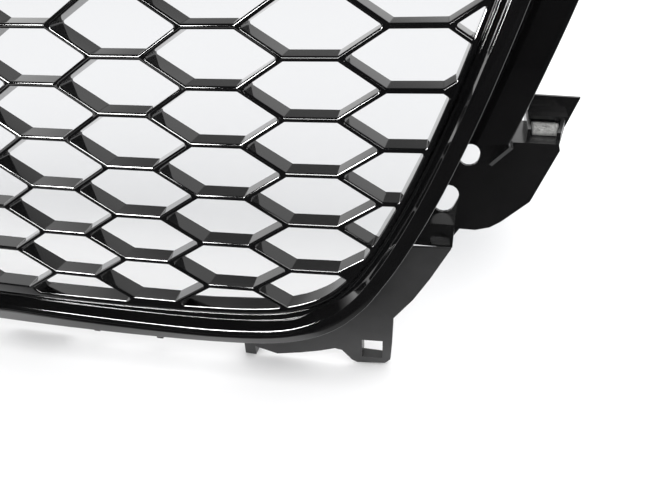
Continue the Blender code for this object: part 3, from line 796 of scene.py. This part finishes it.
def felt_pad():
    """Felt pad between the rails of the shelf: pressed wool with a ragged nap and loose fibres."""
    rng = random.Random(7)
    x0 = PAD_LEFT
    y0, y1 = PAD_DEPTHS
    low, high = [SHELF_TOP + rise for rise in PAD_HEIGHTS]
    bm = bmesh.new()
    nx, ny = PAD_CELLS
    grid = []
    for j in range(ny + 1):
        row = []
        x1 = PAD_RIGHT + PAD_SPLAY * j / ny
        for i in range(nx + 1):
            u = i / nx
            v = j / ny
            edge = min(u, 1 - u) * (x1 - x0)
            edge = min(edge, min(v, 1 - v) * (y1 - y0))
            sag = 0.9 * max(0.0, 1 - edge / 1.3) ** 2
            x = x0 + u * (x1 - x0)
            y = y0 + v * (y1 - y0)
            nap = 0.45 * noise.noise(Vector((x * 1.1, y * 0.9, 3.0)))
            nap += 0.3 * noise.noise(Vector((x * 3.1, y * 2.7, 9.0)))
            wobble = 0.25 * noise.noise(Vector((x * 0.7, y * 0.7, 20.0)))
            row.append(bm.verts.new((x + wobble, y, min(high, high - 0.55 - sag + nap))))
        grid.append(row)
    for j in range(ny):
        for i in range(nx):
            bm.faces.new((grid[j][i], grid[j][i + 1], grid[j + 1][i + 1], grid[j + 1][i]))
    rim = grid[0][:] + [row[-1] for row in grid[1:]] + grid[-1][-2::-1] + [row[0] for row in grid[-2:0:-1]]
    underside = [bm.verts.new((v.co.x, v.co.y, low)) for v in rim]
    wall(bm, rim, underside)
    bm.faces.new(underside)
    for _ in range(PAD_FIBRES):
        y = rng.uniform(y0 + 0.3, y1 - 0.3)
        x1 = PAD_RIGHT + PAD_SPLAY * (y - y0) / (y1 - y0)
        x = rng.uniform(x0 + 0.3, x1 - 0.3)
        turn = rng.uniform(0, math.tau)
        long = rng.uniform(0.6, 1.9)
        rise = rng.uniform(0.05, 0.55)
        width = 0.05
        side = Vector((-math.sin(turn), math.cos(turn), 0)) * width
        up = Vector((0, 0, width))
        base = Vector((x, y, high - 0.75))
        points = []
        for k in range(4):
            t = k / 3
            away = Vector((math.cos(turn + 0.8 * t), math.sin(turn + 0.8 * t), 0)) * long * t
            p = base + away + Vector((0, 0, rise * math.sin(math.pi * (0.15 + 0.75 * t)) + 0.15))
            p.x = min(PAD_RIGHT, max(x0, p.x))
            p.y = min(y1, max(y0, p.y))
            p.z = min(high, p.z)
            points.append(p)
        rings = [[bm.verts.new(p + side), bm.verts.new(p - side * 0.5 + up * 0.8),
                  bm.verts.new(p - side * 0.5 - up * 0.8)] for p in points]
        for a, b in zip(rings, rings[1:]):
            wall(bm, a, b)
        bm.faces.new(rings[0])
        bm.faces.new(rings[-1])
    return new_piece("felt_pad_wool_r", bm, 180.0, False)


# ---------------------------------------------------------------- pieces

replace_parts(dress(honeycomb(), GLOSS), "honeycomb_insert")
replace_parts(dress(trim(), GLOSS), "outer_trim")
for piece, material, slot, node in ((channel(), GLOSS, "gloss_black", "side_channel_r"),
                                    (felt_pad(), FELT, "grey_felt", "felt_pad_r")):
    other = mirrored(piece, piece.name[:-1] + "l")
    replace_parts(dress(piece, material), node)
    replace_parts(dress(other, material), node[:-1] + "l")
for spot in SPOTS:
    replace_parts(dress(screw(*spot), ZINC), "screw_" + spot[0])


def round_edges(node, width, angle):
    """Give a CAD node small rounded edges."""
    ob = NODES[node]
    weld = ob.modifiers.new("weld", "WELD")
    weld.merge_threshold = 0.000002
    bevel = ob.modifiers.new("edges", "BEVEL")
    bevel.width = width
    bevel.segments = 2
    bevel.limit_method = "ANGLE"
    bevel.angle_limit = math.radians(angle)
    bevel.harden_normals = True
    return ob


for node in NODES:
    if node.startswith(("side_bracket", "corner_flange", "lower_", "upper_mount", "rear_carrier")):
        dress(round_edges(node, 0.0004, 35.0), SEMI if node.startswith("side") else SATIN)


# ---------------------------------------------------------------- stage

def ray_mix(tree, camera_value, diffuse_value, other):
    """Background colour by kind of ray: camera, diffuse or the rest."""
    path = tree.nodes.new("ShaderNodeLightPath")
    first = tree.nodes.new("ShaderNodeMixRGB")
    second = tree.nodes.new("ShaderNodeMixRGB")
    tree.links.new(path.outputs["Is Diffuse Ray"], first.inputs["Fac"])
    tree.links.new(other, first.inputs["Color1"])
    first.inputs["Color2"].default_value = (*[diffuse_value] * 3, 1)
    tree.links.new(path.outputs["Is Camera Ray"], second.inputs["Fac"])
    tree.links.new(first.outputs["Color"], second.inputs["Color1"])
    second.inputs["Color2"].default_value = (*[camera_value] * 3, 1)
    return second


def math_node(tree, operation, a, b, c=None):
    """Math node with sockets or numbers."""
    node = tree.nodes.new("ShaderNodeMath")
    node.operation = operation
    for k, value in enumerate((a, b, c)):
        if value is None:
            continue
        if hasattr(value, "is_output"):
            tree.links.new(value, node.inputs[k])
        else:
            node.inputs[k].default_value = value
    return node.outputs["Value"]


def smooth_step(tree, value, low, high):
    """Smooth 0 to 1 as value goes from low to high."""
    node = tree.nodes.new("ShaderNodeMapRange")
    node.interpolation_type = "SMOOTHSTEP"
    node.clamp = True
    tree.links.new(value, node.inputs["Value"])
    node.inputs["From Min"].default_value = low
    node.inputs["From Max"].default_value = high
    return node.outputs["Result"]


def make_world():
    """Pale studio: bright low band behind and to the left, dark room above and in front."""
    world = bpy.data.worlds.new("studio")
    bpy.context.scene.world = world
    world.use_nodes = True
    tree = world.node_tree
    coords = tree.nodes.new("ShaderNodeTexCoord")
    split = tree.nodes.new("ShaderNodeSeparateXYZ")
    tree.links.new(coords.outputs["Generated"], split.inputs["Vector"])
    # Light band behind, up to a height
    behind = smooth_step(tree, split.outputs["Y"], 0.05, 0.45)
    low = math_node(tree, "SUBTRACT", 1.0, smooth_step(tree, split.outputs["Z"], 0.72, 0.93))
    glow = math_node(tree, "MULTIPLY", behind, low)
    # Darker spot in the band
    toward = tree.nodes.new("ShaderNodeVectorMath")
    toward.operation = "DOT_PRODUCT"
    tree.links.new(coords.outputs["Generated"], toward.inputs[0])
    toward.inputs[1].default_value = DARK_SPOT
    spot = smooth_step(tree, toward.outputs["Value"], 0.90, 0.985)
    glow = math_node(tree, "MULTIPLY", glow, math_node(tree, "MULTIPLY_ADD", spot, -0.75, 1.0))
    # Brighter glow to the left, taller towards the back
    left = smooth_step(tree, math_node(tree, "MULTIPLY", split.outputs["X"], -1.0), 0.74, 0.86)
    taller = math_node(tree, "MULTIPLY_ADD", smooth_step(tree, split.outputs["Y"], -0.12, 0.02), -0.3,
                       split.outputs["Z"])
    below = math_node(tree, "SUBTRACT", 1.0, smooth_step(tree, taller, 0.10, 0.35))
    left = math_node(tree, "MULTIPLY", left, below)
    glow = math_node(tree, "MAXIMUM", glow, math_node(tree, "MULTIPLY", left, LEFT_GLOW))
    value = math_node(tree, "MULTIPLY_ADD", glow, ROOM_GLOW, ROOM_DARK)
    colour = tree.nodes.new("ShaderNodeCombineColor")
    for channel_name in ("Red", "Green", "Blue"):
        tree.links.new(value, colour.inputs[channel_name])
    mixed = ray_mix(tree, 0.95, 1.55, colour.outputs["Color"])
    tree.links.new(mixed.outputs["Color"], tree.nodes["Background"].inputs["Color"])
    tree.nodes["Background"].inputs["Strength"].default_value = 1.0


def make_floor(level):
    """Pale floor with painted shade, greyer behind the object, and a painted reflection: mirror rays see it
    fade into a dark room in front.
    """
    bm = bmesh.new()
    bmesh.ops.create_grid(bm, x_segments=2, y_segments=2, size=FLOOR_SIZE)
    mesh = bpy.data.meshes.new("floor")
    bm.to_mesh(mesh)
    bm.free()
    ob = bpy.data.objects.new("floor", mesh)
    ob.location = (0, 0, level)
    bpy.context.scene.collection.objects.link(ob)
    mat, tree, shader = shader_nodes("pale_floor")
    shader.inputs["Roughness"].default_value = 0.9
    shader.inputs["Specular IOR Level"].default_value = 0.0
    coords = tree.nodes.new("ShaderNodeTexCoord")
    split = tree.nodes.new("ShaderNodeSeparateXYZ")
    tree.links.new(coords.outputs["Object"], split.inputs["Vector"])
    # Painted reflection: the floor in front is dark to mirror rays only, standing in for the dark room; its
    # edge comes forward on the left
    reach = math_node(tree, "MULTIPLY", smooth_step(tree, split.outputs["X"], 0.06, -0.10), 0.07)
    along = math_node(tree, "ADD", split.outputs["Y"], reach)
    front = math_node(tree, "SUBTRACT", 1.0, smooth_step(tree, along, -0.172, -0.100))
    path = tree.nodes.new("ShaderNodeLightPath")
    mix = tree.nodes.new("ShaderNodeMixRGB")
    front = math_node(tree, "MULTIPLY", front, smooth_step(tree, split.outputs["X"], -0.62, -0.45))
    # Painted shade: the floor behind the grille is greyer where it is seen through the cells, and dimmer to
    # mirror rays too
    beyond = smooth_step(tree, split.outputs["Y"], -0.10, 0.12)
    beside_it = math_node(tree, "SUBTRACT", 1.0, smooth_step(tree, split.outputs["X"], 0.30, 0.46))
    plain = math_node(tree, "SUBTRACT", 1.0, path.outputs["Is Glossy Ray"])
    seen = math_node(tree, "MULTIPLY", plain, 0.85)
    # painted reflection shade: the floor behind is dimmer to mirror rays
    mirror = math_node(tree, "MULTIPLY", path.outputs["Is Glossy Ray"], 0.6)
    seen = math_node(tree, "MULTIPLY", seen, beside_it)
    back = math_node(tree, "MULTIPLY", beyond, math_node(tree, "MAXIMUM", mirror, seen))
    pale = tree.nodes.new("ShaderNodeMixRGB")
    tree.links.new(back, pale.inputs["Fac"])
    tree.links.new(math_node(tree, "MULTIPLY", front, path.outputs["Is Glossy Ray"]), mix.inputs["Fac"])
    pale.inputs["Color1"].default_value = PALE_FLOOR
    pale.inputs["Color2"].default_value = SHADED_GREY_FLOOR
    tree.links.new(pale.outputs["Color"], mix.inputs["Color1"])
    mix.inputs["Color2"].default_value = MIRRORED_DARK_ROOM
    tree.links.new(mix.outputs["Color"], shader.inputs["Base Color"])
    mesh.materials.append(mat)


def area_light(name, place, target, width, height, radiance, diffuse):
    """Rectangular softbox aimed at a point; without diffuse it only shows in reflections."""
    data = bpy.data.lights.new(name, "AREA")
    data.shape = "RECTANGLE"
    data.size = width
    data.size_y = height
    data.energy = radiance * math.pi * width * height
    ob = bpy.data.objects.new(name, data)
    ob.location = place
    aim = Vector(target) - Vector(place)
    ob.rotation_euler = aim.to_track_quat("-Z", "Y").to_euler()
    ob.visible_camera = False
    ob.visible_diffuse = diffuse
    bpy.context.scene.collection.objects.link(ob)
    return ob


make_world()
make_floor(FLOOR_LEVEL)
area_light("left_softbox", (-0.47, -1.03, 0.35), AIM, 0.54, 0.24, 100.0, False)
area_light("front_softbox", (0.06, -1.12, 0.36), AIM, 0.40, 0.20, 36.0, False)
area_light("right_softbox", (0.66, -1.02, 0.16), AIM, 0.30, 0.12, 12.0, False)
area_light("top_softbox", (0.3, 0.5, 1.9), TOP_AIM, 1.6, 1.2, 1.0, True)


def make_camera():
    """Camera near the lower right corner, looking down and to the left."""
    yaw, pitch, roll = [math.radians(a) for a in CAMERA_ANGLES]
    turn = Matrix.Rotation(yaw, 3, "Z") @ Matrix.Rotation(pitch, 3, "X") @ Matrix.Rotation(roll, 3, "Y")
    right, ahead, up = turn.col
    data = bpy.data.cameras.new("camera")
    data.sensor_width = SENSOR_WIDTH
    data.lens = LENS
    data.clip_start = 0.01
    ob = bpy.data.objects.new("camera", data)
    matrix = Matrix((right, up, -ahead)).transposed().to_4x4()
    matrix.translation = Vector(CAMERA_PLACE)
    ob.matrix_world = matrix
    bpy.context.scene.collection.objects.link(ob)
    bpy.context.scene.camera = ob


make_camera()
bpy.context.scene.view_settings.view_transform = "Standard"
bpy.context.view_layer.update()
